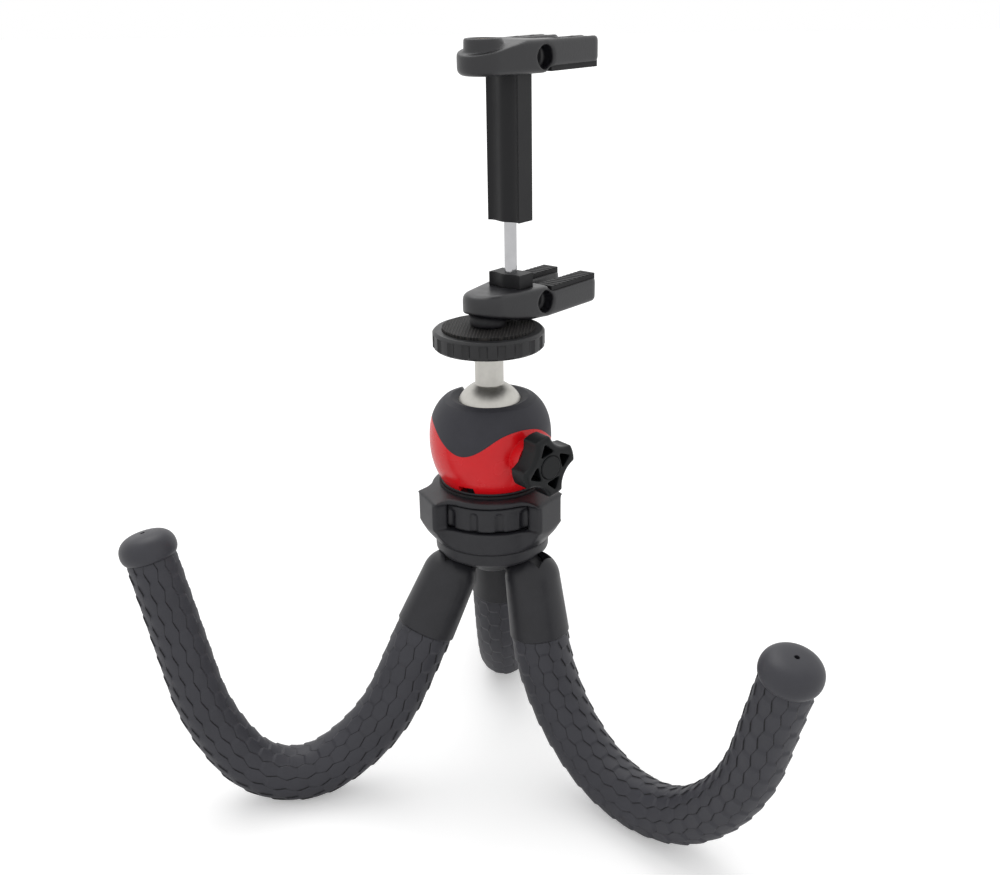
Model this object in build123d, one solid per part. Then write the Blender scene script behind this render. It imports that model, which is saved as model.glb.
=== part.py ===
from build123d import *
import os
from math import acos, cos, pi, radians, sin, sqrt

# Flexible leg tripod with a ball head and a spring phone clamp, standing on three bent legs.
# Millimetres, +Z up. The origin is on the hub's upright axis, on the floor that the legs stand on.
# Azimuths are in degrees, counterclockwise from +X, seen from above.

# Overruns and clearances
overrun = 1.0
running_gap = 0.06
face_gap = 0.1
air_gap = 0.3

# Angles in degrees
full_turn = 360.0
quarter_turn = 90.0

# Hub
base_bottom_z = 83.5
base_height = 13.5
base_ring_r = 21.2
base_ring_height = 4.2
base_ring_chamfer = 0.9
base_nose_r = 7.6
base_nose_chamfer = 0.7
wheel_above_base = 8.7
wheel_height = 9.3
wheel_r = 21.3
wheel_groove_count = 14
wheel_groove_width = 4.2
wheel_groove_depth = 1.1
wheel_groove_rim = 1.2
wheel_edge = 0.6
hub_plate_r = 22.3
hub_plate_thickness = 2.9
hub_plate_drop = 2.4
hub_chamber_gap = 0.5
hub_flat_distance = 26.6
hub_flat_width = 16.4
hub_pillar_width = 14.0
hub_blend_r = 5.0
# Lower outline of the hub: how wide against its corners, and how far up towards the windows
hub_corner_r = 28.2
hub_outline_shares = ((0.78, 0.08), (0.896, 0.56), (0.94, 0.82), (1.0, 1.1))
stud_r = 3.1
stud_below = 3.0
stud_above = 8.5
screw_r = 2.0
screw_length = 12.0
screw_head_r = 3.6
screw_head_height = 2.2
screw_socket_r = 1.3

# Leg roots
pivot_radius = 18.2
pivot_below_base = 0.8
lug_thickness = 9.0
lug_r = 5.2
lug_lean = 45.0
lug_root_length = 11.0
slot_gap = 0.15
slot_floor_gap = 1.4
pin_r = 1.5
pin_length = 15.0
nose_r = 10.3
nose_gap = 0.35
collar_length = 22.3
collar_seam_r = 11.2
collar_rim = 0.4

# Legs, from the pivot to the foot's seam
leg_reach = 209.4
sleeve_root_r = 10.8
sleeve_tip_r = 9.3
floor_flat = 0.4
core_r = 2.6
core_socket = 9.0
core_tail = 5.0
sleeve_stations = 26
foot_length = 9.6
foot_r = 10.5
foot_seam_r = 9.5
foot_hole_r = 0.9
foot_hole_depth = 3.0
foot_wall = 1.6
# Outline of a foot from its seam to its tip: how far along, and how wide
foot_outline_shares = ((0.17, 0.985), (0.40, 1.0), (0.65, 0.93), (0.86, 0.74), (0.97, 0.42))

# How each leg is bent: azimuth of its lug, drop of its root below the horizontal, azimuth and
# rise of its tip, the shares of its reach that the three arcs of its bend take, and the shares of the
# turn that they make
leg_bends = {
    "left": dict(lug=210.0, drop=62.5, tip_azimuth=161.0, rise=74.9,
                 arc_shares=(0.194, 0.182, 0.163), turn_shares=(0.252, 0.572, 0.176)),
    "right": dict(lug=330.0, drop=82.0, tip_azimuth=310.5, rise=73.6,
                  arc_shares=(0.225, 0.284, 0.222), turn_shares=(0.273, 0.505, 0.222)),
    "back": dict(lug=90.0, drop=71.0, tip_azimuth=97.0, rise=70.5,
                 arc_shares=(0.1576, 0.2674, 0.1576), turn_shares=(0.21, 0.69, 0.10)),
}

# Ball head
gasket_r = 19.3
gasket_bore_r = 9.0
gasket_thickness = 0.9
flange_r = 18.4
flange_thickness = 0.8
head_r = 22.4
head_height = 31.4
cap_wall = 2.2
rim_r = 14.4
rim_drop = 1.0
ball_r = 12.7
ball_below_top = 6.7
ball_flat = 1.5
stem_r = 5.2
stem_neck_r = 1.0
stem_length = 25.4
chamber_r = 15.3
chamber_below_ball = 3.6
plug_height = 5.2
plug_skirt = 1.2
insert_r = 5.5
seat_gap = 0.1
washer_thickness = 1.0
notch_azimuth = 106.0
notch_gap = 1.4
notch_flare = 3.0
# Outline of the head from its foot to its rim: how wide, and how far up
head_outline_shares = ((0.8125, 0.0), (0.92, 0.15), (0.982, 0.32), (1.0, 0.53), (0.964, 0.735),
                       (0.875, 0.88), (0.755, 0.975))
tongue_azimuth = 247.0
tongue_count = 3
tongue_low_share = 0.484
tongue_high_share = 0.77
foot_notch_width = 6.0
foot_notch_height = 2.4
foot_notch_depth = 3.0

# Knob that clamps the ball
knob_azimuth = -47.0
knob_collar_r = 8.0
knob_collar_reach = 25.8
knob_gap = 0.4
knob_length = 8.0
knob_r = 11.4
knob_lobe_count = 4
knob_scallop_r = 9.0
knob_scallop_bite = 3.3
knob_edge = 0.8
knob_window_inner_r = 5.0
knob_window_outer_r = 9.4
knob_window_width = 6.2
knob_window_depth = 5.0
knob_cap_r = 4.2
knob_cap_thickness = 1.6
knob_cap_proud = 0.3
knob_turn = 15.0
clamp_screw_r = 3.0
shoe_r = 4.4
shoe_cup = 2.0
shoe_travel = 0.75
shoe_above_washer = 2.9

# Camera platform
disc_thickness = 6.6
disc_r = 20.1
disc_groove_count = 20
disc_groove_r = 1.9
disc_groove_bite = 0.9
disc_chamfer = 0.8
disc_band = 1.1
pad_r = 16.6
pad_thickness = 1.6
pad_proud = 1.0
pad_bore_r = 3.8
camera_screw_r = 3.125
camera_screw_top = 6.0
camera_screw_root = 7.0
camera_screw_flange_r = 4.4
camera_screw_flange = 1.0

# Phone clamp, u forward from the screw, v sideways
clamp_azimuth = 55.2
clamp_height = 97.8
boss_r = 6.7
boss_proud = 5.4
jaw_rear_r = 9.0
jaw_half_width = 13.0
jaw_shoulder = 17.6
jaw_shoulder_r = 4.6
jaw_inner = 12.1
jaw_outer = 1.0
jaw_edge = 2.4
jaw_slope_end = 11.0
prong_reach = 50.0
prong_width = 8.7
prong_inner = 10.4
prong_start = 15.0
prong_edge = 1.6
window_width = 4.6
window_depth = 6.0
window_start = 23.6
window_length = 7.2
window_pitch = 9.2
window_count = 3
side_hole_r = 4.0
side_hole_u = 17.8
side_hole_depth = 5.2
side_hole_level = 6.8
jaw_pad_start = 21.5
jaw_pad_end = 48.0
jaw_pad_width = 6.6
jaw_pad_thickness = 2.2
jaw_pad_proud = 1.3
jaw_pad_rib = 1.2
nut_r = 4.6
nut_height = 6.6
nut_recess = 0.5
camera_thread_r = 3.175
tube_u = 13.0
tube_width = 13.9
tube_depth = 7.8
tube_bulge = 0.5
tube_hollow = 0.7
tube_length = 50.1
tube_socket = 3.4
tube_bore_r = 3.1
tube_floor = 2.2
rod_r = 2.25
rod_in_tube = 34.7
rod_socket_proud = 4.8
rod_root = 2.5
retainer_r = 2.85
retainer_height = 2.5
spring_wire_r = 0.3
spring_turns = 14


def unit(azimuth, rise):
    """Direction with the given azimuth and rise above the horizontal, in degrees."""
    flat = cos(radians(rise))
    return Vector(flat * cos(radians(azimuth)), flat * sin(radians(azimuth)), sin(radians(rise)))


def turned(azimuth):
    return Rot(0, 0, azimuth)


def rod_between(radius, low, high):
    """Upright cylinder on the Z axis from one height to another."""
    return Pos(0, 0, low) * Cylinder(radius, high - low, align=(Align.CENTER, Align.CENTER, Align.MIN))


def block(low, high):
    """Box between two corners."""
    size = [b - a for a, b in zip(low, high)]
    middle = [(a + b) / 2 for a, b in zip(low, high)]
    return Pos(*middle) * Box(*size)


def revolved(face):
    """Turns a face drawn on the XZ plane about the Z axis."""
    return revolve(face, Axis.Z)


def ring_of(count, shape, start=0.0):
    return [turned(start + full_turn * i / count) * shape for i in range(count)]


# Hub

base_top_z = base_bottom_z + base_height
wheel_bottom_z = base_top_z + wheel_above_base
wheel_top_z = wheel_bottom_z + wheel_height
hub_floor_z = wheel_bottom_z - air_gap
hub_ceiling_z = wheel_top_z + air_gap
hub_top_z = hub_ceiling_z + hub_plate_thickness
pivot_z = base_bottom_z - pivot_below_base
stud_top_z = hub_top_z + stud_above


def leg_azimuths():
    return [bend["lug"] for bend in leg_bends.values()]


def hub_plan():
    """Outline of the hub: a round plate with a flat-faced ear over each leg."""
    plan = Circle(hub_plate_r)
    for azimuth in leg_azimuths():
        ear = Pos(hub_flat_distance / 2, 0) * Rectangle(hub_flat_distance, hub_flat_width)
        plan = plan + turned(azimuth) * ear
    inner = [v for v in plan.vertices() if Vector(v.X, v.Y, v.Z).length < hub_flat_distance]
    return fillet(inner, hub_blend_r)


def hub_form():
    """Body of revolution that gives the hub its sloped top and its narrow waist."""
    depth = hub_floor_z - base_top_z
    flank = [(wide * hub_corner_r, base_top_z + up * depth) for wide, up in hub_outline_shares]
    with BuildSketch(Plane.XZ) as body:
        with BuildLine():
            Polyline([(0, base_top_z), (flank[0][0], base_top_z)] + flank
                     + [(hub_corner_r, hub_top_z - hub_plate_drop), (gasket_r, hub_top_z), (0, hub_top_z),
                        (0, base_top_z)])
        make_face()
    return revolved(body.sketch)


def hub_windows():
    """Space all round the wheel's chamber but for the three pillars."""
    space = rod_between(2 * hub_corner_r, hub_floor_z, hub_ceiling_z)
    half = hub_pillar_width / 2
    for azimuth in leg_azimuths():
        space = space - turned(azimuth) * block((0, -half, hub_floor_z - overrun),
                                                (2 * hub_corner_r, half, hub_ceiling_z + overrun))
    return space


def hub_housing():
    body = Pos(0, 0, base_top_z) * extrude(hub_plan(), hub_top_z - base_top_z)
    body = (body & hub_form()) - hub_windows()
    body = body - rod_between(wheel_r + hub_chamber_gap, hub_floor_z, hub_ceiling_z)
    body = body - rod_between(stud_r + running_gap, hub_floor_z - stud_below - face_gap, hub_top_z + overrun)
    return body - rod_between(screw_r, base_top_z - overrun, base_bottom_z + screw_head_height + screw_length)


def lock_wheel():
    rim = rod_between(wheel_r, wheel_bottom_z, wheel_top_z)
    rim = chamfer(rim.edges().filter_by(GeomType.CIRCLE), wheel_edge)
    groove_r = wheel_groove_width / 2
    groove_x = wheel_r + groove_r - wheel_groove_depth
    groove_z = wheel_top_z - wheel_groove_rim - groove_r
    groove = rod_between(groove_r, wheel_bottom_z - overrun, groove_z) + Pos(0, 0, groove_z) * Sphere(groove_r)
    groove = Pos(groove_x, 0, 0) * groove
    for cut in ring_of(wheel_groove_count, groove):
        rim = rim - cut
    return rim - rod_between(stud_r, wheel_bottom_z - overrun, wheel_top_z + overrun)


def lock_stud():
    shaft = rod_between(stud_r, hub_floor_z - stud_below, stud_top_z)
    return chamfer(shaft.edges().sort_by(Axis.Z)[-1], stud_r / 4)


def base_form():
    ring_foot_z = base_top_z - base_ring_height
    with BuildSketch(Plane.XZ) as form:
        with BuildLine():
            Polyline((0, base_bottom_z), (base_nose_r - base_nose_chamfer, base_bottom_z),
                     (base_nose_r, base_bottom_z + base_nose_chamfer),
                     (base_ring_r - base_ring_chamfer, ring_foot_z - base_ring_chamfer),
                     (base_ring_r, ring_foot_z), (base_ring_r, base_top_z), (0, base_top_z),
                     (0, base_bottom_z))
        make_face()
    return revolved(form.sketch)


def lug():
    """Round-ended tang that reaches down and out to the hinge line of a leg at azimuth 0."""
    strip = Pos(-lug_root_length / 2, 0) * Rectangle(lug_root_length, 2 * lug_r)
    profile = Pos(pivot_radius, pivot_z) * Rot(0, 0, -lug_lean) * (Circle(lug_r) + strip)
    return extrude(Plane.XZ * profile, lug_thickness / 2, both=True)


def pin_along(radius, length):
    """Cylinder on a leg's hinge line, for a leg at azimuth 0."""
    return Pos(pivot_radius, 0, pivot_z) * Rot(90, 0, 0) * Cylinder(radius, length)


def hub_base():
    form = base_form()
    pocket = Pos(pivot_radius, 0, pivot_z) * Sphere(nose_r + nose_gap)
    for azimuth in leg_azimuths():
        form = form - turned(azimuth) * pocket
    for azimuth in leg_azimuths():
        form = form + turned(azimuth) * lug()
        form = form - turned(azimuth) * pin_along(pin_r, pin_length)
    form = form - rod_between(screw_r, base_bottom_z - overrun, base_top_z + overrun)
    return form - rod_between(screw_head_r + face_gap, base_bottom_z - overrun,
                              base_bottom_z + screw_head_height)


def hub_screw():
    head = rod_between(screw_head_r, base_bottom_z, base_bottom_z + screw_head_height)
    shank = rod_between(screw_r, base_bottom_z + screw_head_height,
                        base_bottom_z + screw_head_height + screw_length)
    return head + shank - rod_between(screw_socket_r, base_bottom_z - overrun,
                                      base_bottom_z + screw_head_height / 2)


def hinge_pin(leg):
    return turned(leg["lug"]) * pin_along(pin_r, pin_length)


# Legs

class LegLine:
    """Centreline of one leg: a straight root, three arcs in one plane and a straight tip."""

    def __init__(self, lug, drop, tip_azimuth, rise, arc_shares, turn_shares):
        self.pivot = unit(lug, 0) * pivot_radius + Vector(0, 0, pivot_z)
        self.hinge = unit(lug + quarter_turn, 0)
        self.start = unit(lug, -drop)
        self.end = unit(tip_azimuth, rise)
        self.normal = self.start.cross(self.end).normalized()
        self.turn = acos(self.start.dot(self.end))
        self.arcs = [leg_reach * share for share in arc_shares]
        self.turns = [self.turn * share for share in turn_shares]
        self.root = collar_length
        # The straight root is as long as brings the underside of the bend to the floor
        for _ in range(4):
            self.root += (self.lowest() + floor_flat) / sin(radians(drop))
        self.tip = leg_reach - self.root - sum(self.arcs)

    def at(self, distance):
        """Point and direction at a distance from the pivot."""
        point, heading, left = self.pivot, self.start, distance
        step = min(left, self.root)
        point, left = point + heading * step, left - step
        for length, turn in zip(self.arcs, self.turns):
            step = min(left, length)
            radius, angle = length / turn, turn * step / length
            across = self.normal.cross(heading)
            point = point + heading * (radius * sin(angle)) + across * (radius * (1 - cos(angle)))
            heading = heading * cos(angle) + across * sin(angle)
            left -= step
        return point + heading * left, heading

    def radius(self, distance):
        share = (distance - collar_length) / (leg_reach - collar_length)
        return sleeve_root_r + (sleeve_tip_r - sleeve_root_r) * share

    def lowest(self):
        """Height of the underside of the sleeve."""
        count = 8 * sleeve_stations
        heights = []
        for i in range(count + 1):
            distance = collar_length + (leg_reach - collar_length) * i / count
            point, heading = self.at(distance)
            heights.append(point.Z - self.radius(distance) * sqrt(1 - heading.Z ** 2))
        return min(heights)

    def bottom(self):
        """Distance from the pivot to the lowest point of the bend."""
        count = 8 * sleeve_stations
        spots = [collar_length + (leg_reach - collar_length) * i / count for i in range(count + 1)]
        return min(spots, key=lambda spot: self.at(spot)[0].Z)

    def plane(self, distance):
        point, heading = self.at(distance)
        return Plane(origin=point, x_dir=self.normal, z_dir=heading)

    def path(self, low, high):
        """Line and arcs of the centreline between two distances from the pivot."""
        marks = [self.root]
        for length in self.arcs:
            marks.append(marks[-1] + length)
        inside = [mark for mark in marks if low < mark < high]
        stops = [low] + inside + [high]
        edges = []
        for a, b in zip(stops[:-1], stops[1:]):
            pa, pm, pb = (self.at(d)[0] for d in (a, (a + b) / 2, b))
            if b <= self.root or a >= marks[-1]:
                edges.append(Edge.make_line(pa, pb))
            else:
                edges.append(Edge.make_three_point_arc(pa, pm, pb))
        return Wire(edges)


def leg_core(line):
    """Bendable wire inside a leg, from the collar into the foot."""
    low, high = core_socket, leg_reach + core_tail
    return sweep(line.plane(low) * Circle(core_r), line.path(low, high))


def leg_sleeve(line):
    """Tapered rubber tube round the wire, flattened where it stands on the floor."""
    sections = []
    for i in range(sleeve_stations + 1):
        distance = collar_length + (leg_reach - collar_length) * i / sleeve_stations
        sections.append(line.plane(distance) * Circle(line.radius(distance)))
    tube = loft(sections)
    tube = tube - leg_core(line)
    reach = 2 * leg_reach
    return tube - block((-reach, -reach, -reach), (reach, reach, 0))


def collar_slot():
    """Space that the lug sweeps in a collar, open at the top and towards the hub's axis."""
    floor_r = lug_r + slot_floor_gap
    far = 2 * nose_r
    low = floor_r * sin(radians(lug_lean))
    with BuildSketch(Plane.YZ) as side:
        Circle(floor_r)
        with BuildLine():
            Polyline((0, 0), (floor_r, 0), (floor_r, -2 * far), (-low - far, -2 * far),
                     (-low - far, low - far), (-low, low), (0, 0))
        make_face()
    return extrude(side.sketch, lug_thickness / 2 + slot_gap, both=True)


def leg_collar(line):
    """Round-ended collar that holds the sleeve's end and turns on the lug's pin."""
    with BuildSketch(Plane.XZ) as half:
        with BuildLine():
            CenterArc((0, 0), nose_r, -90, 90)
            Polyline((nose_r, 0), (collar_seam_r, collar_length - collar_rim),
                     (collar_seam_r - collar_rim, collar_length), (0, collar_length), (0, -nose_r))
        make_face()
    body = revolved(half.sketch) - collar_slot()
    body = body - Rot(0, 90, 0) * Cylinder(pin_r + running_gap, pin_length + 2 * face_gap)
    body = body - rod_between(core_r, core_socket, collar_length + overrun)
    return Plane(origin=line.pivot, x_dir=line.hinge, z_dir=line.start).location * body


def leg_foot(line):
    """Rubber cap on a leg's tip, with a small hole in its crown."""
    with BuildSketch(Plane.XZ) as half:
        with BuildLine():
            side = Spline([(foot_seam_r, 0)] + [(foot_r * wide, foot_length * far)
                                                 for far, wide in foot_outline_shares]
                          + [(0, foot_length)])
            Polyline((0, foot_length), (0, 0), (foot_seam_r, 0))
        make_face()
    body = revolved(half.sketch)
    body = body - rod_between(core_r, -overrun, core_tail)
    body = body - rod_between(foot_hole_r, foot_length - foot_hole_depth, foot_length + overrun)
    return line.plane(leg_reach).location * body


# Ball head

gasket_bottom_z = hub_top_z
flange_bottom_z = gasket_bottom_z + gasket_thickness
head_bottom_z = flange_bottom_z + flange_thickness
head_top_z = head_bottom_z + head_height
ball_z = head_top_z - ball_below_top
chamber_top_z = ball_z - chamber_below_ball
plug_top_z = head_bottom_z + plug_height
knob_z = plug_top_z + washer_thickness + shoe_above_washer + shoe_r
seat_bottom_z = plug_top_z + washer_thickness + face_gap
seat_top_z = chamber_top_z - face_gap


def head_form(inset):
    """Outline of the head, drawn in by an inset all round but at its foot."""
    points = [(wide * head_r - inset, head_bottom_z + up * (head_height - inset))
              for wide, up in head_outline_shares]
    with BuildSketch(Plane.XZ) as half:
        with BuildLine():
            Spline(points)
            Polyline(points[-1], (rim_r - inset, head_top_z - inset), (0, head_top_z - inset),
                     (0, head_bottom_z), points[0])
        make_face()
    return revolved(half.sketch)


def along(azimuth, z, shape):
    """Places a shape made on +Z so that it points outward at an azimuth and height."""
    return Pos(0, 0, z) * turned(azimuth) * Rot(0, 90, 0) * shape


def tongue():
    """Upper region of the head with one hanging tongue, for azimuth 0."""
    half_width = head_r * sin(pi / tongue_count)
    low = head_bottom_z + head_height * tongue_low_share
    high = head_bottom_z + head_height * tongue_high_share
    top = head_top_z + overrun
    with BuildSketch(Plane.YZ) as side:
        with BuildLine():
            Spline([(-half_width, high), (-half_width / 2, (low + high) / 2), (0, low),
                    (half_width / 2, (low + high) / 2), (half_width, high)],
                   tangents=[(1, 0), (1, 0)])
            Polyline((half_width, high), (half_width, top), (-half_width, top), (-half_width, high))
        make_face()
    return extrude(side.sketch, head_r + overrun)


def cap_region():
    """Space that the upper cap fills: all above the wavy seam."""
    high = head_bottom_z + head_height * tongue_high_share
    region = rod_between(head_r + overrun, high, head_top_z + overrun)
    for piece in ring_of(tongue_count, tongue(), tongue_azimuth):
        region = region + piece
    return region


def notch():
    """Slot in which the stem can drop to the horizontal, with its upper corners rounded away."""
    half = stem_r + notch_gap
    top = head_top_z
    flare_z = top - notch_flare
    with BuildSketch(Plane.YZ) as side:
        with BuildLine():
            ThreePointArc((-half, ball_z), (0, ball_z - half), (half, ball_z))
            Line((half, ball_z), (half, flare_z))
            CenterArc((half + notch_flare, flare_z), notch_flare, 180, -90)
            Polyline((half + notch_flare, top), (half + notch_flare, top + overrun),
                     (-half - notch_flare, top + overrun), (-half - notch_flare, top))
            CenterArc((-half - notch_flare, flare_z), notch_flare, 90, -90)
            Line((-half, flare_z), (-half, ball_z))
        make_face()
    return turned(notch_azimuth) * extrude(side.sketch, head_r + overrun)


def rim_bevel():
    """Funnel round the ball's opening."""
    mouth_r = sqrt(ball_r ** 2 - (ball_below_top - rim_drop) ** 2)
    return Pos(0, 0, head_top_z - rim_drop) * Cone(mouth_r, rim_r, rim_drop + face_gap,
                                                  align=(Align.CENTER, Align.CENTER, Align.MIN))


def ball_space():
    return Pos(0, 0, ball_z) * Sphere(ball_r + seat_gap)


def head_cap():
    shell = (head_form(0) & cap_region()) - head_form(cap_wall)
    collar = along(knob_azimuth, knob_z, rod_between(knob_collar_r + face_gap, 0, 2 * head_r))
    return shell - ball_space() - rim_bevel() - notch() - collar


def head_housing():
    shell = head_form(0) - cap_region()
    body = shell + head_form(cap_wall)
    body = body + along(knob_azimuth, knob_z, rod_between(knob_collar_r, chamber_r, knob_collar_reach))
    body = body - ball_space() - rim_bevel() - notch()
    body = body - rod_between(chamber_r, head_bottom_z - overrun, chamber_top_z)
    body = body - along(knob_azimuth, knob_z, rod_between(clamp_screw_r + running_gap, 0, 2 * head_r))
    low = head_bottom_z - overrun
    mark = block((head_r * head_outline_shares[0][0] - foot_notch_depth, -foot_notch_width / 2, low),
                 (head_r + overrun, foot_notch_width / 2, head_bottom_z + foot_notch_height))
    return body - turned(tongue_azimuth) * mark


def head_base():
    """Plug and flange that close the head from below and take the hub's stud."""
    flange = rod_between(flange_r, flange_bottom_z, head_bottom_z)
    plug = rod_between(chamber_r - face_gap, head_bottom_z, plug_top_z)
    well = rod_between(chamber_r - plug_skirt - face_gap, head_bottom_z + plug_skirt, plug_top_z + overrun)
    post = rod_between(insert_r + plug_skirt, head_bottom_z, plug_top_z)
    body = flange + (plug - well) + post
    return body - rod_between(insert_r, flange_bottom_z - overrun, plug_top_z + overrun)


def stud_insert():
    """Threaded metal insert in the head's base, drawn with a plain bore."""
    return rod_between(insert_r, flange_bottom_z, plug_top_z) - rod_between(
        stud_r + running_gap, flange_bottom_z - overrun, plug_top_z + overrun)


def base_gasket():
    return rod_between(gasket_r, gasket_bottom_z, flange_bottom_z) - rod_between(
        gasket_bore_r, gasket_bottom_z - overrun, flange_bottom_z + overrun)


def seat_washer():
    """Spring washer that holds the seat against the ball."""
    outer, inner = chamber_r - 2 * face_gap, insert_r + plug_skirt
    return rod_between(outer, plug_top_z + face_gap / 2, plug_top_z + washer_thickness) - rod_between(
        inner, plug_top_z - overrun, plug_top_z + washer_thickness + overrun)


def ball_seat():
    """Plastic cup under the ball, with a side window for the brake shoe and room for the stem."""
    cup = rod_between(chamber_r - face_gap, seat_bottom_z, seat_top_z) - ball_space()
    cup = cup - rod_between(stud_r + overrun, seat_bottom_z - overrun, ball_z) - notch()
    return cup - along(knob_azimuth, knob_z, rod_between(shoe_r + face_gap, 0, 2 * head_r))


def ball_stem():
    top = ball_z + stem_length
    ball = Pos(0, 0, ball_z) * Sphere(ball_r)
    ball = ball - block((-ball_r, -ball_r, ball_z - ball_r - overrun),
                        (ball_r, ball_r, ball_z - ball_r + ball_flat))
    stem = rod_between(stem_r, ball_z, top)
    stem = chamfer(stem.edges().sort_by(Axis.Z)[-1], stem_neck_r / 2)
    return ball + stem - rod_between(camera_screw_r, top - camera_screw_root, top + overrun)


shoe_tip = sqrt((ball_r + seat_gap) ** 2 - (ball_z - knob_z) ** 2)
shoe_end = sqrt(chamber_r ** 2 - shoe_r ** 2) - shoe_travel - face_gap
knob_back = knob_collar_reach + knob_gap
knob_front = knob_back + knob_length


def brake_shoe():
    """Plunger whose hollowed tip bears on the lower side of the ball."""
    body = along(knob_azimuth, knob_z, rod_between(shoe_r, 0, shoe_end))
    return body - Pos(0, 0, ball_z) * Sphere(ball_r + seat_gap / 2) - rod_between(
        shoe_tip - shoe_cup, head_bottom_z, head_top_z)


def clamp_screw():
    return along(knob_azimuth, knob_z, rod_between(clamp_screw_r, shoe_end, knob_front - knob_cap_thickness))


def knob_outline():
    """Four-lobed outline with hollowed flanks."""
    shape = Circle(knob_r)
    distance = knob_r + knob_scallop_r - knob_scallop_bite
    for i in range(knob_lobe_count):
        middle = unit(full_turn * (i + 1 / 2) / knob_lobe_count, 0) * distance
        shape = shape - Pos(middle.X, middle.Y) * Circle(knob_scallop_r)
    return shape


def knob_window():
    """Triangular pocket in one lobe, pointing outward."""
    inner, outer, half = knob_window_inner_r, knob_window_outer_r, knob_window_width / 2
    face = make_face(Polyline((inner, -half), (outer, 0), (inner, half), (inner, -half)))
    return face


def clamp_knob():
    body = extrude(knob_outline(), knob_length)
    body = chamfer(body.faces().sort_by(Axis.Z)[-1].edges(), knob_edge)
    face_z = knob_length
    pocket = Pos(0, 0, face_z - knob_window_depth) * extrude(knob_window(), knob_window_depth + overrun)
    for cut in ring_of(knob_lobe_count, pocket):
        body = body - cut
    body = body - rod_between(clamp_screw_r, -overrun, face_z + overrun)
    body = body - rod_between(knob_cap_r, face_z - knob_cap_thickness, face_z + overrun)
    return along(knob_azimuth, knob_z, Pos(0, 0, knob_back) * turned(knob_turn) * body)


def knob_cap():
    low = knob_front - knob_cap_thickness
    disc = rod_between(knob_cap_r, low, knob_front + knob_cap_proud)
    disc = chamfer(disc.edges().sort_by(Axis.Z)[-1], knob_cap_proud)
    return along(knob_azimuth, knob_z, disc)


# Camera platform

disc_bottom_z = ball_z + stem_length
disc_top_z = disc_bottom_z + disc_thickness
pad_bottom_z = disc_top_z + pad_proud - pad_thickness
pad_top_z = disc_top_z + pad_proud


def platform_disc():
    body = rod_between(disc_r, disc_bottom_z, disc_top_z)
    body = chamfer(body.edges().filter_by(GeomType.CIRCLE), disc_chamfer)
    groove_x = disc_r + disc_groove_r - disc_groove_bite
    groove = Pos(groove_x, 0, 0) * rod_between(disc_groove_r, disc_bottom_z - overrun, disc_top_z - disc_band)
    for cut in ring_of(disc_groove_count, groove):
        body = body - cut
    body = body - rod_between(pad_r + face_gap, pad_bottom_z, disc_top_z + overrun)
    return body - rod_between(camera_screw_r + running_gap, disc_bottom_z - overrun, disc_top_z)


def platform_pad():
    return rod_between(pad_r, pad_bottom_z, pad_top_z) - rod_between(
        pad_bore_r, pad_bottom_z - overrun, pad_top_z + overrun)


def platform_screw():
    """Quarter-inch camera screw fixed in the stem, drawn with a plain shank."""
    stem_top = ball_z + stem_length
    body = rod_between(camera_screw_r, stem_top - camera_screw_root, pad_top_z + camera_screw_top)
    return chamfer(body.edges().sort_by(Axis.Z)[-1], camera_screw_r / 4)


# Phone clamp: a jaw is drawn from the end of its boss, at zero, towards the phone

clamp_bottom_z = pad_top_z + face_gap
clamp_top_z = clamp_bottom_z + clamp_height
jaw_inner_top_z = clamp_top_z - jaw_inner
tube_bottom_z = jaw_inner_top_z - tube_length
rod_top_z = tube_bottom_z + rod_in_tube


def low_jaw(shape):
    return Pos(0, 0, clamp_bottom_z) * turned(clamp_azimuth) * shape


def high_jaw(shape):
    return Pos(0, 0, clamp_top_z) * turned(clamp_azimuth) * Rot(180, 0, 0) * shape


def on_clamp(shape):
    """Places a shape made on the rod's axis."""
    return turned(clamp_azimuth) * Pos(tube_u, 0, 0) * shape


def tube_section():
    """Section of the slide tube: flat to the front, with a wavy back."""
    half_width, half_depth = tube_width / 2, tube_depth / 2
    back = [(-half_depth, half_width), (tube_hollow - half_depth, half_width * 2 / 3),
            (-half_depth - tube_bulge, 0), (tube_hollow - half_depth, -half_width * 2 / 3),
            (-half_depth, -half_width)]
    with BuildSketch() as section:
        with BuildLine():
            Spline(back)
            Polyline(back[-1], (half_depth, -half_width), (half_depth, half_width), back[0])
        make_face()
    return section.sketch


def jaw_plan():
    side = jaw_half_width - jaw_shoulder_r
    rear = Circle(jaw_rear_r)
    for v in (-side, side):
        rear = rear + Pos(jaw_shoulder, v) * Circle(jaw_shoulder_r)
    return make_hull(rear.edges())


def prong():
    """One prong, with its outer windows, on the +v side."""
    middle = jaw_half_width - prong_width / 2
    length = prong_reach - prong_start
    plan = Pos(prong_start + length / 2, middle) * SlotOverall(length, prong_width)
    body = Pos(0, 0, jaw_outer) * extrude(plan, prong_inner - jaw_outer)
    body = fillet(body.edges().filter_by(Plane.XY), prong_edge)
    for i in range(window_count):
        start = window_start + i * window_pitch
        body = body - block((start, middle - window_width / 2, jaw_outer - overrun),
                            (start + window_length, middle + window_width / 2, jaw_outer + window_depth))
    return body


def pad_blank(above):
    """Space of one pad on the +v side, up to a height above the pad's face."""
    middle = jaw_half_width - prong_width / 2
    top = prong_inner + jaw_pad_proud
    return block((jaw_pad_start, middle - jaw_pad_width / 2, top - jaw_pad_thickness),
                 (jaw_pad_end, middle + jaw_pad_width / 2, top + above))


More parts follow.
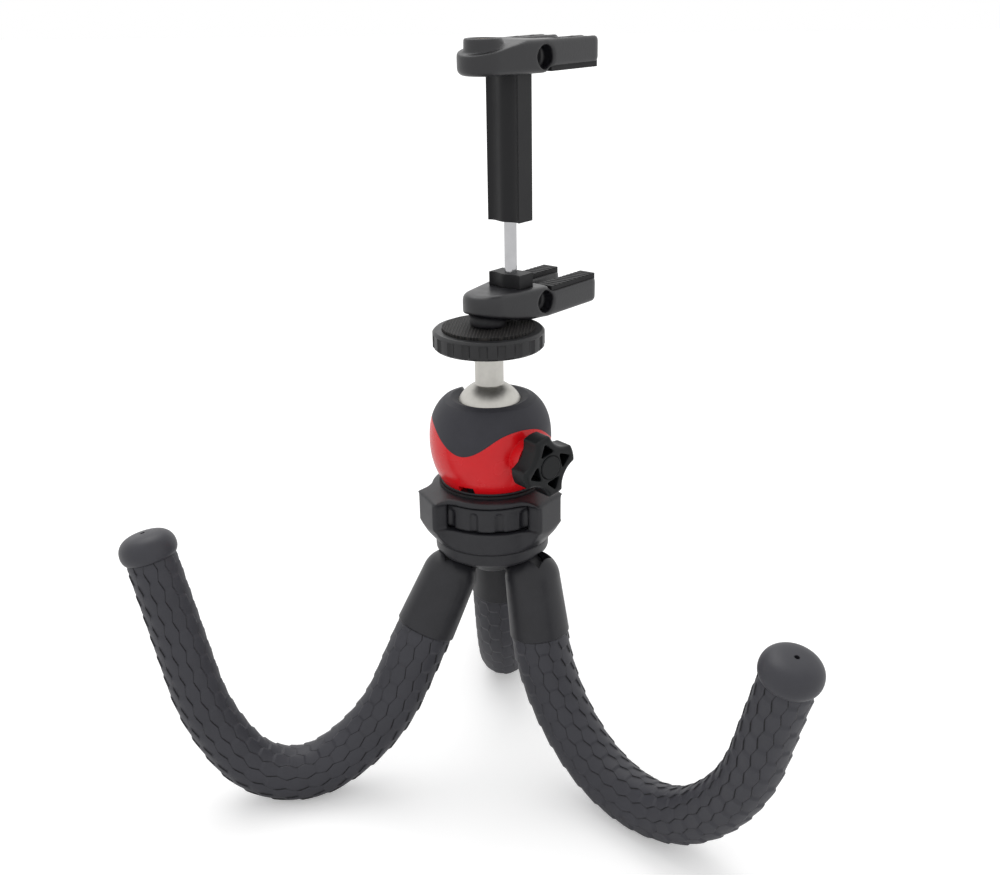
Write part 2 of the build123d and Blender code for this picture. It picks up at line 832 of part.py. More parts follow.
def jaw():
    body = Pos(0, 0, jaw_outer) * extrude(jaw_plan(), jaw_inner - jaw_outer)
    body = fillet(body.edges().filter_by(Plane.XY), jaw_edge)
    rise = boss_proud - jaw_outer
    with BuildSketch(Plane.XZ) as slope:
        with BuildLine():
            Polyline((-2 * jaw_rear_r, boss_proud), (-jaw_rear_r, boss_proud), (jaw_slope_end, jaw_outer),
                     (jaw_slope_end, -rise), (-2 * jaw_rear_r, -rise), (-2 * jaw_rear_r, boss_proud))
        make_face()
    body = body - extrude(slope.sketch, jaw_half_width, both=True)
    body = body + prong() + mirror(prong(), Plane.XZ)
    body = body + rod_between(boss_r, 0, jaw_inner / 2)
    body = body - pad_blank(overrun + jaw_pad_proud) - mirror(pad_blank(overrun + jaw_pad_proud), Plane.XZ)
    for side in (-1, 1):
        hole = Pos(side_hole_u, side * (jaw_half_width - side_hole_depth / 2 + overrun / 2), side_hole_level)
        body = body - hole * Rot(90, 0, 0) * Cylinder(side_hole_r, side_hole_depth + overrun)
    body = body - rod_between(nut_r, -overrun, nut_recess + nut_height)
    socket = Pos(tube_u, 0, jaw_inner - tube_socket) * extrude(tube_section(), tube_socket + overrun)
    return body - socket - Pos(tube_u, 0, 0) * rod_between(rod_r + running_gap, jaw_inner - tube_socket
                                                           - rod_root, jaw_inner)


def jaw_pads():
    """The two rubber pads of a jaw, ribbed across."""
    middle = jaw_half_width - prong_width / 2
    top = prong_inner + jaw_pad_proud
    pad = pad_blank(0)
    count = int((jaw_pad_end - jaw_pad_start) / (2 * jaw_pad_rib)) - 1
    pitch = (jaw_pad_end - jaw_pad_start) / (count + 1)
    for i in range(1, count + 1):
        mid = jaw_pad_start + i * pitch
        groove = block((mid - jaw_pad_rib / 4, middle - jaw_pad_width, top - jaw_pad_rib / 4),
                       (mid + jaw_pad_rib / 4, middle + jaw_pad_width, top + overrun))
        pad = pad - groove
    return Compound([pad.solid(), mirror(pad, Plane.XZ).solid()])


def jaw_nut(bore_r):
    """Brass insert of a jaw's boss, drawn with a plain bore."""
    return rod_between(nut_r, nut_recess, nut_recess + nut_height) - rod_between(
        bore_r, -overrun, nut_recess + nut_height + overrun)


def rod_socket():
    """Stub of the tube's section that carries the rod on the lower jaw."""
    low = clamp_bottom_z + jaw_inner - tube_socket
    high = clamp_bottom_z + jaw_inner + rod_socket_proud
    body = Pos(0, 0, low) * extrude(tube_section(), high - low)
    return on_clamp(body - rod_between(rod_r, low - overrun, high + overrun))


def clamp_rod():
    low = clamp_bottom_z + jaw_inner - tube_socket - rod_root + face_gap
    return on_clamp(rod_between(rod_r, low, rod_top_z))


def rod_retainer():
    return on_clamp(rod_between(retainer_r, rod_top_z - retainer_height, rod_top_z)
                    - rod_between(rod_r, rod_top_z - retainer_height - overrun, rod_top_z + overrun))


def slide_tube():
    high = jaw_inner_top_z + tube_socket
    body = Pos(0, 0, tube_bottom_z) * extrude(tube_section(), high - tube_bottom_z)
    body = body - rod_between(tube_bore_r, tube_bottom_z + tube_floor, high + overrun)
    return on_clamp(body - rod_between(rod_r + running_gap, tube_bottom_z - overrun, high))


def clamp_spring():
    """Coil spring round the rod, between the tube's floor and the rod's retainer."""
    low = tube_bottom_z + tube_floor + spring_wire_r + face_gap
    high = rod_top_z - retainer_height - spring_wire_r - face_gap
    mean_r = (rod_r + tube_bore_r) / 2
    helix = Pos(0, 0, low) * Helix((high - low) / spring_turns, high - low, mean_r)
    start = Plane(origin=helix @ 0, z_dir=helix % 0)
    return on_clamp(sweep(start * Circle(spring_wire_r), helix, is_frenet=True))


def save(name, shape):
    export_step(shape, f"parts/{name}.step")


def main():
    os.makedirs("parts", exist_ok=True)
    save("hub_housing", hub_housing())
    save("hub_base", hub_base())
    save("hub_screw", hub_screw())
    save("lock_wheel", lock_wheel())
    save("lock_stud", lock_stud())
    for name, bend in leg_bends.items():
        line = LegLine(**bend)
        save(f"{name}_hinge_pin", hinge_pin(bend))
        save(f"{name}_collar", leg_collar(line))
        save(f"{name}_sleeve", leg_sleeve(line))
        save(f"{name}_core", leg_core(line))
        save(f"{name}_foot", leg_foot(line))
        print(name, "root", round(line.root, 2), "tip", round(line.tip, 2), "lowest",
              [round(v, 2) for v in line.at(line.bottom())[0]])
    save("base_gasket", base_gasket())
    save("head_base", head_base())
    save("stud_insert", stud_insert())
    save("seat_washer", seat_washer())
    save("ball_seat", ball_seat())
    save("head_housing", head_housing())
    save("head_cap", head_cap())
    save("ball_stem", ball_stem())
    save("brake_shoe", brake_shoe())
    save("clamp_screw", clamp_screw())
    save("clamp_knob", clamp_knob())
    save("knob_cap", knob_cap())
    save("platform_screw", platform_screw())
    save("platform_disc", platform_disc())
    save("platform_pad", platform_pad())
    save("lower_jaw", low_jaw(jaw()))
    save("lower_nut", low_jaw(jaw_nut(camera_screw_r + running_gap)))
    save("lower_pads", low_jaw(jaw_pads()))
    save("rod_socket", rod_socket())
    save("clamp_rod", clamp_rod())
    save("rod_retainer", rod_retainer())
    save("upper_jaw", high_jaw(jaw()))
    save("upper_nut", high_jaw(jaw_nut(camera_thread_r)))
    save("upper_pads", high_jaw(jaw_pads()))
    save("slide_tube", slide_tube())
    save("clamp_spring", clamp_spring())


main()
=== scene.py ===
# %% [markdown]
# # Small flexible leg tripod
# This lesson dresses a ready-made solid model of a pocket tripod: three bendable rubber legs, a
# red ball head and a sprung phone clamp. The solids come in as a fixed frame. We give every piece
# its real finish, and build the scaled rubber skins of the legs as meshes of their own.

# %% Load the solid model
from math import cos, pi, radians, sin

import bmesh
import bpy
from mathutils import Matrix, Vector


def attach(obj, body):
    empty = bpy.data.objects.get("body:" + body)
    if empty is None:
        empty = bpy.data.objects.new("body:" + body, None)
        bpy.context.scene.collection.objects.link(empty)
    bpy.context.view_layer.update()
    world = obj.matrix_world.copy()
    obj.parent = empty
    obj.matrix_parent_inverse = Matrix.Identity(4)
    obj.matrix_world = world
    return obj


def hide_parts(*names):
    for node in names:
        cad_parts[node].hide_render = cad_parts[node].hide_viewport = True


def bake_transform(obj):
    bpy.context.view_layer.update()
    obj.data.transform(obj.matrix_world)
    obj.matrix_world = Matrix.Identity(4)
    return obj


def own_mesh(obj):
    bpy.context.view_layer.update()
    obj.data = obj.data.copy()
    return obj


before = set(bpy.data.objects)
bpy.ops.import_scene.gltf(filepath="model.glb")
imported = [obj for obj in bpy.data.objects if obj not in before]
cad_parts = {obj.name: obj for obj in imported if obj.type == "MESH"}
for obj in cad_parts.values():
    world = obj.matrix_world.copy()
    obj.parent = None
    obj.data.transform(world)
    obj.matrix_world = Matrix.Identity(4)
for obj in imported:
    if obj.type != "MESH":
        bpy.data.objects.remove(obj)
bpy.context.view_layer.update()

MM = 0.001
scene = bpy.context.scene

# %% [markdown]
# ## Camera
# The photograph was taken from slightly above, with the tripod's hub almost in the middle. We
# stand the camera where the round rims of the head and the undersides of the legs line up with
# it. It could be placed by eye in the viewport, but written numbers put it in the same spot on
# each run.

# %% Place the camera
CAMERA_PLACE = Vector((41.1, -429.6, 295.8)) * MM
CAMERA_HEADING = 5.0
CAMERA_PITCH = -20.45
CAMERA_ROLL = -0.89
SENSOR_WIDTH = 36.0
FOCAL_SHARE = 1.25
NEAR_CLIP = 10.0 * MM

camera_data = bpy.data.cameras.new("camera")
camera_data.sensor_width = SENSOR_WIDTH
camera_data.lens = SENSOR_WIDTH * FOCAL_SHARE
camera_data.clip_start = NEAR_CLIP
camera = bpy.data.objects.new("camera", camera_data)
scene.collection.objects.link(camera)
turn = Matrix.Rotation(radians(CAMERA_HEADING), 4, "Z")
turn = turn @ Matrix.Rotation(radians(90 + CAMERA_PITCH), 4, "X")
turn = turn @ Matrix.Rotation(radians(CAMERA_ROLL), 4, "Z")
camera.matrix_world = Matrix.Translation(CAMERA_PLACE) @ turn
scene.camera = camera
scene.view_settings.view_transform = "Standard"
print("camera at", [round(v, 3) for v in CAMERA_PLACE])

# %% [markdown]
# ## Colours and shader nodes
# Finishes are written as the hex colours that a maker would give. Shaders count in linear light,
# so one function turns a hex colour to linear. A second one adds a shader node with its settings
# and links, and a third starts a material with one Principled shader.


# %% Colour and node helpers
def linear(code, alpha=1.0):
    """An sRGB hex colour as linear red, green, blue and alpha."""
    channels = [int(code[i : i + 2], 16) / 255 for i in (1, 3, 5)]
    low = [c / 12.92 if c <= 0.04045 else ((c + 0.055) / 1.055) ** 2.4 for c in channels]
    return (*low, alpha)


def add_node(tree, kind, inputs=None, **settings):
    """Adds a node, sets its properties, and fills its inputs with values or other sockets."""
    node = tree.nodes.new(kind)
    for name, value in settings.items():
        setattr(node, name, value)
    for name, value in (inputs or {}).items():
        if isinstance(value, bpy.types.NodeSocket):
            tree.links.new(value, node.inputs[name])
        else:
            node.inputs[name].default_value = value
    return node


def new_material(name, color, roughness, metallic=0.0, **sockets):
    """A material with one Principled shader, returned with its tree and its shader."""
    material = bpy.data.materials.new(name)
    material.use_nodes = True
    tree = material.node_tree
    shader = tree.nodes["Principled BSDF"]
    shader.inputs["Base Color"].default_value = linear(color)
    shader.inputs["Roughness"].default_value = roughness
    shader.inputs["Metallic"].default_value = metallic
    for name, value in sockets.items():
        shader.inputs[name.replace("_", " ")].default_value = value
    return material, tree, shader


print("middle grey #808080 is", round(linear("#808080")[0], 3), "in linear light")

# %% [markdown]
# ## Mottle
# Moulded plastic, rubber and blasted metal are never perfectly even. A slow noise, with a size in
# millimetres, varies the colour between two close tones and makes the surface a little duller or
# glossier. Painted variation would need a picture, and noise on Object coordinates doesn't.

# %% Slow variation of a finish
NOISE_LOW = 0.3
NOISE_HIGH = 0.7


def mottle(tree, shader, dark, light, size_mm, roughness_low, roughness_high):
    """Slow variation of colour and roughness over a size in millimetres."""
    place = add_node(tree, "ShaderNodeTexCoord")
    noise = add_node(
        tree, "ShaderNodeTexNoise",
        {"Vector": place.outputs["Object"], "Scale": 1 / (size_mm * MM), "Detail": 3.0,
         "Roughness": 0.6},
    )
    ramp = add_node(tree, "ShaderNodeValToRGB", {"Fac": noise.outputs["Fac"]})
    ramp.color_ramp.elements[0].position = NOISE_LOW
    ramp.color_ramp.elements[1].position = NOISE_HIGH
    ramp.color_ramp.elements[0].color = linear(dark)
    ramp.color_ramp.elements[1].color = linear(light)
    spread = add_node(
        tree, "ShaderNodeMapRange",
        {"Value": noise.outputs["Fac"], "From Min": NOISE_LOW, "From Max": NOISE_HIGH,
         "To Min": roughness_low, "To Max": roughness_high},
    )
    tree.links.new(ramp.outputs["Color"], shader.inputs["Base Color"])
    tree.links.new(spread.outputs["Result"], shader.inputs["Roughness"])
    return place


print("mottle uses the noise from", NOISE_LOW, "to", NOISE_HIGH)

# %% [markdown]
# ## Grain and soft edges
# Moulds are spark eroded, which leaves a fine pitted grain on the plastic. It could be
# displacement, but it is too shallow to change an outline, so it goes on as bump. A bevel node
# rounds the shading of hard edges, as a mould's edges are round.

# %% Fine grain of a finish
BUMP_STRENGTH = 0.6
EDGE_SAMPLES = 4


def grain(tree, shader, place, size_mm, height_mm, edge_mm=0.3):
    """Fine moulded grain as bump, over edges whose shading is rounded."""
    edge = add_node(tree, "ShaderNodeBevel", {"Radius": edge_mm * MM}, samples=EDGE_SAMPLES)
    noise = add_node(
        tree, "ShaderNodeTexNoise",
        {"Vector": place.outputs["Object"], "Scale": 1 / (size_mm * MM), "Detail": 2.0},
    )
    bump = add_node(
        tree, "ShaderNodeBump",
        {"Height": noise.outputs["Fac"], "Distance": height_mm * MM, "Strength": BUMP_STRENGTH,
         "Normal": edge.outputs["Normal"]},
    )
    tree.links.new(bump.outputs["Normal"], shader.inputs["Normal"])
    return bump


print("grain looks at", EDGE_SAMPLES, "places to round an edge")

# %% [markdown]
# ## Black moulded plastic
# The hub, its wheel, the leg collars and the clamp's jaws are glass-filled nylon, moulded with a
# spark-eroded grain. One black could serve them all, but the hub and the clamp are separate
# mouldings and differ a little, so each has its own.

# %% Glass-filled nylon of the hub, the collars and the jaws
# Charcoal black with a soft sheen on its shoulders. The real grain is too fine to show at this
# distance, so both grains are drawn coarser than they are.
nylon, tree, shader = new_material(
    "moulded_nylon_black", "#222226", 0.4, Specular_IOR_Level=0.4)
place = mottle(tree, shader, "#1e1e22", "#26262a", 9.0, 0.36, 0.46)
grain(tree, shader, place, 0.7, 0.035, 0.6)

# Deeper black with a glossier, pebbled skin that catches light on its round edges
clamp_nylon, tree, shader = new_material(
    "moulded_nylon_clamp", "#151519", 0.34, Specular_IOR_Level=0.6)
place = mottle(tree, shader, "#121216", "#18181c", 7.0, 0.3, 0.4)
grain(tree, shader, place, 0.9, 0.07, 1.0)
print("made", nylon.name, "and", clamp_nylon.name)

# %% [markdown]
# ## Darker plastic of the tube and the knob
# The slide tube, the rod's socket and the knob are the same plastic, but look nearly black in the
# picture. A darker colour with a lower specular level gives that more simply than a second layer
# of shader would.

# %% Glass-filled nylon of the slide tube and the knob
# Nearly matt black, as a long plain tube comes out of its mould
tube_nylon, tree, shader = new_material(
    "moulded_nylon_tube", "#0f0f12", 0.45, Specular_IOR_Level=0.3)
place = mottle(tree, shader, "#0d0d10", "#121215", 9.0, 0.4, 0.5)
grain(tree, shader, place, 0.4, 0.015, 0.4)

# Very dark, faintly cool black, worn smooth by fingers
knob_nylon, tree, shader = new_material(
    "moulded_nylon_knob", "#0e1012", 0.36, Specular_IOR_Level=0.25)
place = mottle(tree, shader, "#0c0e10", "#111315", 5.0, 0.32, 0.42)
grain(tree, shader, place, 0.3, 0.015, 0.5)
print("made", tube_nylon.name, "and", knob_nylon.name)

# %% [markdown]
# ## Soft grey cap and red shell
# The ball head is two mouldings that meet in a wave: a rubbery dark grey cap with three tongues,
# and a red ABS shell with a semi-gloss skin. They are two pieces, so each has a material of its
# own, and no mask is needed to draw the wave. The red is strong, so its mottle stays very small.

# %% Head finishes
# Soft-touch paint scatters light evenly and shows no sharp highlight
cap_paint, tree, shader = new_material(
    "soft_touch_grey", "#333339", 0.55, Specular_IOR_Level=0.3)
place = mottle(tree, shader, "#303036", "#36363c", 8.0, 0.5, 0.6)
grain(tree, shader, place, 0.45, 0.02)

# Coloured ABS straight from a polished mould: deep red under a soft gloss
red_abs, tree, shader = new_material(
    "moulded_abs_red", "#d40e18", 0.26, Specular_IOR_Level=0.4)
place = mottle(tree, shader, "#d00c16", "#d8101a", 10.0, 0.22, 0.3)
grain(tree, shader, place, 0.8, 0.01)
print("made", cap_paint.name, "and", red_abs.name)

# %% [markdown]
# ## Metals
# The ball and its stem are bead-blasted aluminium, whose small pits spread the light over the
# ball. The clamp's rod is polished steel, the inserts are turned brass and the screws are zinc
# plated. All are fully metallic, so that their colour tints what they reflect. Stretched noise
# could add the marks of tools, but they wouldn't show on pieces this small.

# %% Bright metal finishes
# Pale satin metal with a warm cast
blasted, tree, shader = new_material("bead_blasted_aluminium", "#c9c7c1", 0.4, 1.0)
place = mottle(tree, shader, "#c4c2bc", "#cfcdc7", 3.0, 0.36, 0.44)
grain(tree, shader, place, 0.22, 0.012, 0.5)

# Clear mirror streaks along the rod
polished, tree, shader = new_material("polished_steel", "#bdbdbf", 0.16, 1.0)
place = mottle(tree, shader, "#b8b8ba", "#c2c2c4", 4.0, 0.12, 0.2)
grain(tree, shader, place, 0.5, 0.002)

# Yellow metal with the dullness of a cutting tool's marks
turned_brass, tree, shader = new_material("turned_brass", "#b4925a", 0.28, 1.0)
place = mottle(tree, shader, "#ab8a53", "#be9b61", 2.0, 0.22, 0.34)
grain(tree, shader, place, 0.3, 0.01)

# Cool grey plating with a patchy gloss
zinc, tree, shader = new_material("zinc_plated_steel", "#b3b5b8", 0.3, 1.0)
place = mottle(tree, shader, "#aaadb0", "#bcbec0", 2.0, 0.24, 0.38)
grain(tree, shader, place, 0.3, 0.008)
print("made", ", ".join(metal.name for metal in (blasted, polished, turned_brass, zinc)))

# %% [markdown]
# ## Anodised platform and acetal seat
# The platform's aluminium is hidden by a black anodised dye, so it isn't metallic in the shader.
# The ball's seat and its brake shoe are acetal, a milky plastic that slides well. Light sinking
# into it could be traced, but both pieces sit inside the head, so a plain colour does.

# %% Black dye of the platform and white acetal inside the head
# Black dye in a thin clear oxide skin, satin and even
anodised, tree, shader = new_material(
    "anodised_aluminium_black", "#1f1f21", 0.38, Specular_IOR_Level=0.4)
place = mottle(tree, shader, "#1c1c1e", "#232325", 4.0, 0.34, 0.42)
grain(tree, shader, place, 0.25, 0.01)

# Slippery milky plastic for the ball's seat and brake shoe
acetal, tree, shader = new_material("acetal_white", "#dcdbd6", 0.35)
place = mottle(tree, shader, "#d8d7d2", "#e0dfda", 6.0, 0.3, 0.4)
grain(tree, shader, place, 0.5, 0.01)
print("made", anodised.name, "and", acetal.name)

# %% [markdown]
# ## Plain rubbers
# The foot caps are thermoplastic rubber, dark grey and smooth. The pads in the jaws and the gasket
# under the head are a harder, blacker rubber. A sheen layer could add dust to them, but rubber
# this clean only needs little gloss and a high roughness.

# %% Rubber of the feet and the pads
# Dark grey with a faint bloom
foot_rubber, tree, shader = new_material(
    "moulded_rubber_foot", "#333339", 0.44, Specular_IOR_Level=0.45)
place = mottle(tree, shader, "#303036", "#36363c", 6.0, 0.38, 0.5)
grain(tree, shader, place, 0.4, 0.02)

# Dull black that swallows the light between the ribs
pad_rubber, tree, shader = new_material(
    "hard_rubber_black", "#18181a", 0.6, Specular_IOR_Level=0.3)
place = mottle(tree, shader, "#161618", "#1c1c1e", 4.0, 0.55, 0.66)
grain(tree, shader, place, 0.3, 0.03)
print("made", foot_rubber.name, "and", pad_rubber.name)

# %% [markdown]
# ## Gridded rubber of the platform
# The round platform pad is moulded with a fine square grid, so that a camera doesn't slip. Its
# ribs could be modelled, but they are too small to show on the outline, so the shader draws them.
# A triangle wave runs along X and another along Y, and the larger of the two is high on the
# grid's lines. It drives the bump, and the colour as a painted highlight on the raised lines and
# painted shade in the hollows between them. The spacing is estimated from the picture.

# %% Rubber with a square grid
GRID_PITCH = 1.15 * MM
GRID_FLANKS = (0.32, 0.46)
GRID_HEIGHT = 0.35 * MM

grid_rubber, tree, shader = new_material(
    "gridded_rubber_black", "#1d1d1f", 0.62, Specular_IOR_Level=0.3)
place = add_node(tree, "ShaderNodeTexCoord")
spread = add_node(
    tree, "ShaderNodeMapping",
    {"Vector": place.outputs["Object"], "Scale": (1 / GRID_PITCH,) * 3},
)
axes = add_node(tree, "ShaderNodeSeparateXYZ", {"Vector": spread.outputs["Vector"]})
waves = []
for name in "XY":
    wave = add_node(tree, "ShaderNodeMath", {0: axes.outputs[name], 1: 0.5}, operation="PINGPONG")
    waves.append(wave.outputs["Value"])
knurl = add_node(tree, "ShaderNodeMath", {0: waves[0], 1: waves[1]}, operation="MAXIMUM")
level = add_node(
    tree, "ShaderNodeMapRange",
    {"Value": knurl.outputs["Value"], "From Min": GRID_FLANKS[0], "From Max": GRID_FLANKS[1],
     "To Min": 0.0, "To Max": 1.0},
)
# Painted highlight on the raised lines (#3a3735) and painted shade in the hollows (#0f0f10)
grid_light_and_shade = add_node(tree, "ShaderNodeMix", {0: level.outputs["Result"]}, data_type="RGBA")
grid_light_and_shade.inputs["A"].default_value = linear("#0f0f10")
grid_light_and_shade.inputs["B"].default_value = linear("#3a3735")
relief = add_node(
    tree, "ShaderNodeBump",
    {"Height": level.outputs["Result"], "Distance": GRID_HEIGHT, "Strength": 1.0},
)
tree.links.new(grid_light_and_shade.outputs["Result"], shader.inputs["Base Color"])
tree.links.new(relief.outputs["Normal"], shader.inputs["Normal"])
print("grid lines are", GRID_PITCH / MM, "mm apart")

# %% [markdown]
# ## Rubber of the leg skins
# The legs are covered with dark, matt thermoplastic rubber, moulded with long six-sided scales in
# staggered columns, like a honeycomb stretched along the leg. Grooves run between the columns,
# with painted shade in them. The grooves must follow the leg round its bend, so the pattern reads
# the skin's own UV map, where U runs once round the leg and V from the collar to the foot.

# %% Sizes of the scales
COLLAR_LENGTH = 22.3 * MM
LEG_REACH = 209.4 * MM
SCALE_COLUMNS = 14
SCALE_PITCH = 8.1 * MM
print("a skin has", round((LEG_REACH - COLLAR_LENGTH) / SCALE_PITCH), "rows of scales")

# %% [markdown]
# ## Nearest scale in a shader
# The scales' centres form two interlaced rectangular sets. A Voronoi texture finds nearest
# centres too, but places them at random or in a square. Here wrapping the coordinates gives the
# offset from the nearest centre of one set, and its squared length tells how near it is. The
# product of the two offsets is positive on one slant of the six-sided scale and negative on the
# other.


# %% Offset from the nearest scale of one set
def scale_offset(tree, vector, shift):
    """Squared distance and slant from the nearest centre of a set that is moved by a shift."""
    moved = add_node(tree, "ShaderNodeVectorMath", {0: vector, 1: shift}, operation="ADD")
    cell = add_node(
        tree, "ShaderNodeVectorMath",
        {0: moved.outputs["Vector"], 1: (1.0, 0.5, 1.0), 2: (-1.0, -0.5, -1.0)}, operation="WRAP",
    )
    flat = add_node(
        tree, "ShaderNodeVectorMath", {0: cell.outputs["Vector"], 1: (1.0, 1.0, 0.0)},
        operation="MULTIPLY",
    )
    far = add_node(
        tree, "ShaderNodeVectorMath", {0: flat.outputs["Vector"], 1: flat.outputs["Vector"]},
        operation="DOT_PRODUCT",
    )
    offsets = add_node(tree, "ShaderNodeSeparateXYZ", {"Vector": flat.outputs["Vector"]})
    slant = add_node(
        tree, "ShaderNodeMath", {0: offsets.outputs["X"], 1: offsets.outputs["Y"]},
        operation="MULTIPLY",
    )
    return far.outputs["Value"], slant.outputs["Value"]


print("a set has a centre every 2 columns and every row")

# %% [markdown]
# ## Which scale a point belongs to
# On the real skin one scale ends where its neighbour is nearer. Both sets are asked for their
# nearest centre, and the difference tells which one wins and how close the other is. A picture of
# the pattern could do this, but it would blur when seen from near by.

# %% Nearest of the two sets
# Matt dark grey rubber with a cool cast, and painted shade that makes the grooves nearly black
skin_rubber, tree, shader = new_material(
    "moulded_rubber_skin", "#34343a", 0.5, Specular_IOR_Level=0.4)
place = mottle(tree, shader, "#323238", "#39393f", 12.0, 0.44, 0.56)
tint = shader.inputs["Base Color"].links[0].from_socket
counted = add_node(
    tree, "ShaderNodeMapping",
    {"Vector": place.outputs["UV"],
     "Scale": (SCALE_COLUMNS, (LEG_REACH - COLLAR_LENGTH) / SCALE_PITCH, 1.0),
     "Location": (0.0, COLLAR_LENGTH / SCALE_PITCH, 0.0)},
)
first = scale_offset(tree, counted.outputs["Vector"], (0.0, 0.0, 0.0))
second = scale_offset(tree, counted.outputs["Vector"], (-1.0, -0.5, 0.0))
nearer = add_node(tree, "ShaderNodeMath", {0: first[0], 1: second[0]}, operation="SUBTRACT")
side_gap = add_node(tree, "ShaderNodeMath", {0: nearer.outputs["Value"]}, operation="ABSOLUTE")
in_second = add_node(
    tree, "ShaderNodeMath", {0: nearer.outputs["Value"], 1: 0.0}, operation="GREATER_THAN")
slant = add_node(tree, "ShaderNodeMix", {0: in_second.outputs["Value"], 2: first[1], 3: second[1]})
print("grooves follow", SCALE_COLUMNS, "columns of scales")

# %% [markdown]
# ## Depth and painted shade of the grooves
# A groove is where two centres are equally near. It is deep on one slant, where a scale steps
# down to its neighbour, and faint on the other. Its depth presses the bump down, and darkens the
# rubber as painted shade, most on the slant where the step casts its shadow. Grooves this narrow
# could be modelled, but would need millions of faces.

# %% Pressed grooves with painted shade
GROOVE_FLANKS = (0.015, 0.08)
SLANT_FLANKS = (-0.03, 0.03)
FAINT_GROOVE = 0.5
GROOVE_DEPTH = 0.35 * MM

sharp = add_node(
    tree, "ShaderNodeMapRange",
    {"Value": slant.outputs[0], "From Min": SLANT_FLANKS[0], "From Max": SLANT_FLANKS[1],
     "To Min": 1.0, "To Max": FAINT_GROOVE},
)
line = add_node(
    tree, "ShaderNodeMapRange",
    {"Value": side_gap.outputs["Value"], "From Min": GROOVE_FLANKS[0],
     "From Max": GROOVE_FLANKS[1], "To Min": 1.0, "To Max": 0.0},
)
depth_and_shade = add_node(
    tree, "ShaderNodeMath", {0: line.outputs["Result"], 1: sharp.outputs["Result"]},
    operation="MULTIPLY",
)
groove_and_shade = add_node(
    tree, "ShaderNodeMath", {0: 1.0, 1: depth_and_shade.outputs["Value"]}, operation="SUBTRACT")
# Painted shade: the grooves are darkened towards #0e0e0f, most on the slant where each scale's
# step casts its shadow
shade = add_node(
    tree, "ShaderNodeMix", {0: groove_and_shade.outputs["Value"], 6: linear("#0e0e0f"), 7: tint},
    data_type="RGBA",
)
tree.links.new(shade.outputs[2], shader.inputs["Base Color"])
bump = grain(tree, shader, place, 0.5, 0.03, 0.15)
cut = add_node(
    tree, "ShaderNodeBump",
    {"Height": groove_and_shade.outputs["Value"], "Distance": GROOVE_DEPTH, "Strength": 1.0,
     "Normal": bump.outputs["Normal"]},
)
tree.links.new(cut.outputs["Normal"], shader.inputs["Normal"])
print("made", skin_rubber.name, "with", len(tree.nodes), "nodes")

# %% [markdown]
# ## Finishes for the solid pieces
# Most pieces of the frame already have their real shape, so they keep it and only get a finish.
# Each could be set by hand, but one table of finishes shows at a glance which pieces match.

# %% Give each piece its finish
LEGS = ("left", "right", "back")
finishes = {
    nylon: ["hub_housing", "hub_base", "lock_wheel", "head_base"]
    + [f"{leg}_collar" for leg in LEGS],
    clamp_nylon: ["lower_jaw", "upper_jaw"],
    tube_nylon: ["rod_socket", "slide_tube"],
    knob_nylon: ["clamp_knob", "knob_cap"],
    cap_paint: ["head_cap"],
    red_abs: ["head_housing"],
    blasted: ["ball_stem"],
    polished: ["clamp_rod"],
    turned_brass: ["stud_insert", "lower_nut", "upper_nut"],
    zinc: ["hub_screw", "lock_stud", "seat_washer", "clamp_screw", "platform_screw",
           "rod_retainer", "clamp_spring"]
    + [f"{leg}_hinge_pin" for leg in LEGS] + [f"{leg}_core" for leg in LEGS],
    anodised: ["platform_disc"],
    acetal: ["ball_seat", "brake_shoe"],
    foot_rubber: [f"{leg}_foot" for leg in LEGS],
    skin_rubber: [f"{leg}_sleeve" for leg in LEGS],
    pad_rubber: ["base_gasket", "lower_pads", "upper_pads"],
    grid_rubber: ["platform_pad"],
}
for material, names in finishes.items():
    for name in names:
        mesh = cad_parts[name].data
        mesh.materials.clear()
        mesh.materials.append(material)
print("finished", sum(len(names) for names in finishes.values()), "solid pieces")

# %% [markdown]
# ## The line of a leg
# Each leg is a soft wire core inside a rubber tube, so it can be bent by hand and keeps its bend.
# Its line is a straight root, three arcs in one plane and a straight tip, with the measures of
# the solid model. They are kept in one table, because all three legs are the same piece bent
# differently.

# %% How each leg is bent
# Azimuths, the root's drop and the tip's rise are in degrees, the root's length is in millimetres,
# arcs are shares of the leg's reach, and turns are shares of its whole bend
PIVOT_RADIUS = 18.2 * MM
PIVOT_HEIGHT = 82.7 * MM
LEG_BENDS = {
    "left": dict(lug=210.0, drop=62.5, root=46.61, tip_azimuth=161.0, rise=74.9,
                 arcs=(0.194, 0.182, 0.163), turns=(0.252, 0.572, 0.176)),
    "right": dict(lug=330.0, drop=82.0, root=22.98, tip_azimuth=310.5, rise=73.6,
                  arcs=(0.225, 0.284, 0.222), turns=(0.273, 0.505, 0.222)),
    "back": dict(lug=90.0, drop=71.0, root=39.79, tip_azimuth=97.0, rise=70.5,
                 arcs=(0.1576, 0.2674, 0.1576), turns=(0.21, 0.69, 0.10)),
}
print("legs:", ", ".join(LEG_BENDS))

# %% [markdown]
# ## Following a leg
# A bent leg is read like a walk: straight on, then round each arc, then straight on again. One
# function says where the walk is after a distance, and which way it goes. A curve object could
# hold the same line, but wouldn't tell so easily how far along it a point lies.


# %% Follow a leg's line
def heading(azimuth, rise):
    """Direction with an azimuth and a rise above the horizontal, in degrees."""
    flat = cos(radians(rise))
    return Vector((flat * cos(radians(azimuth)), flat * sin(radians(azimuth)), sin(radians(rise))))


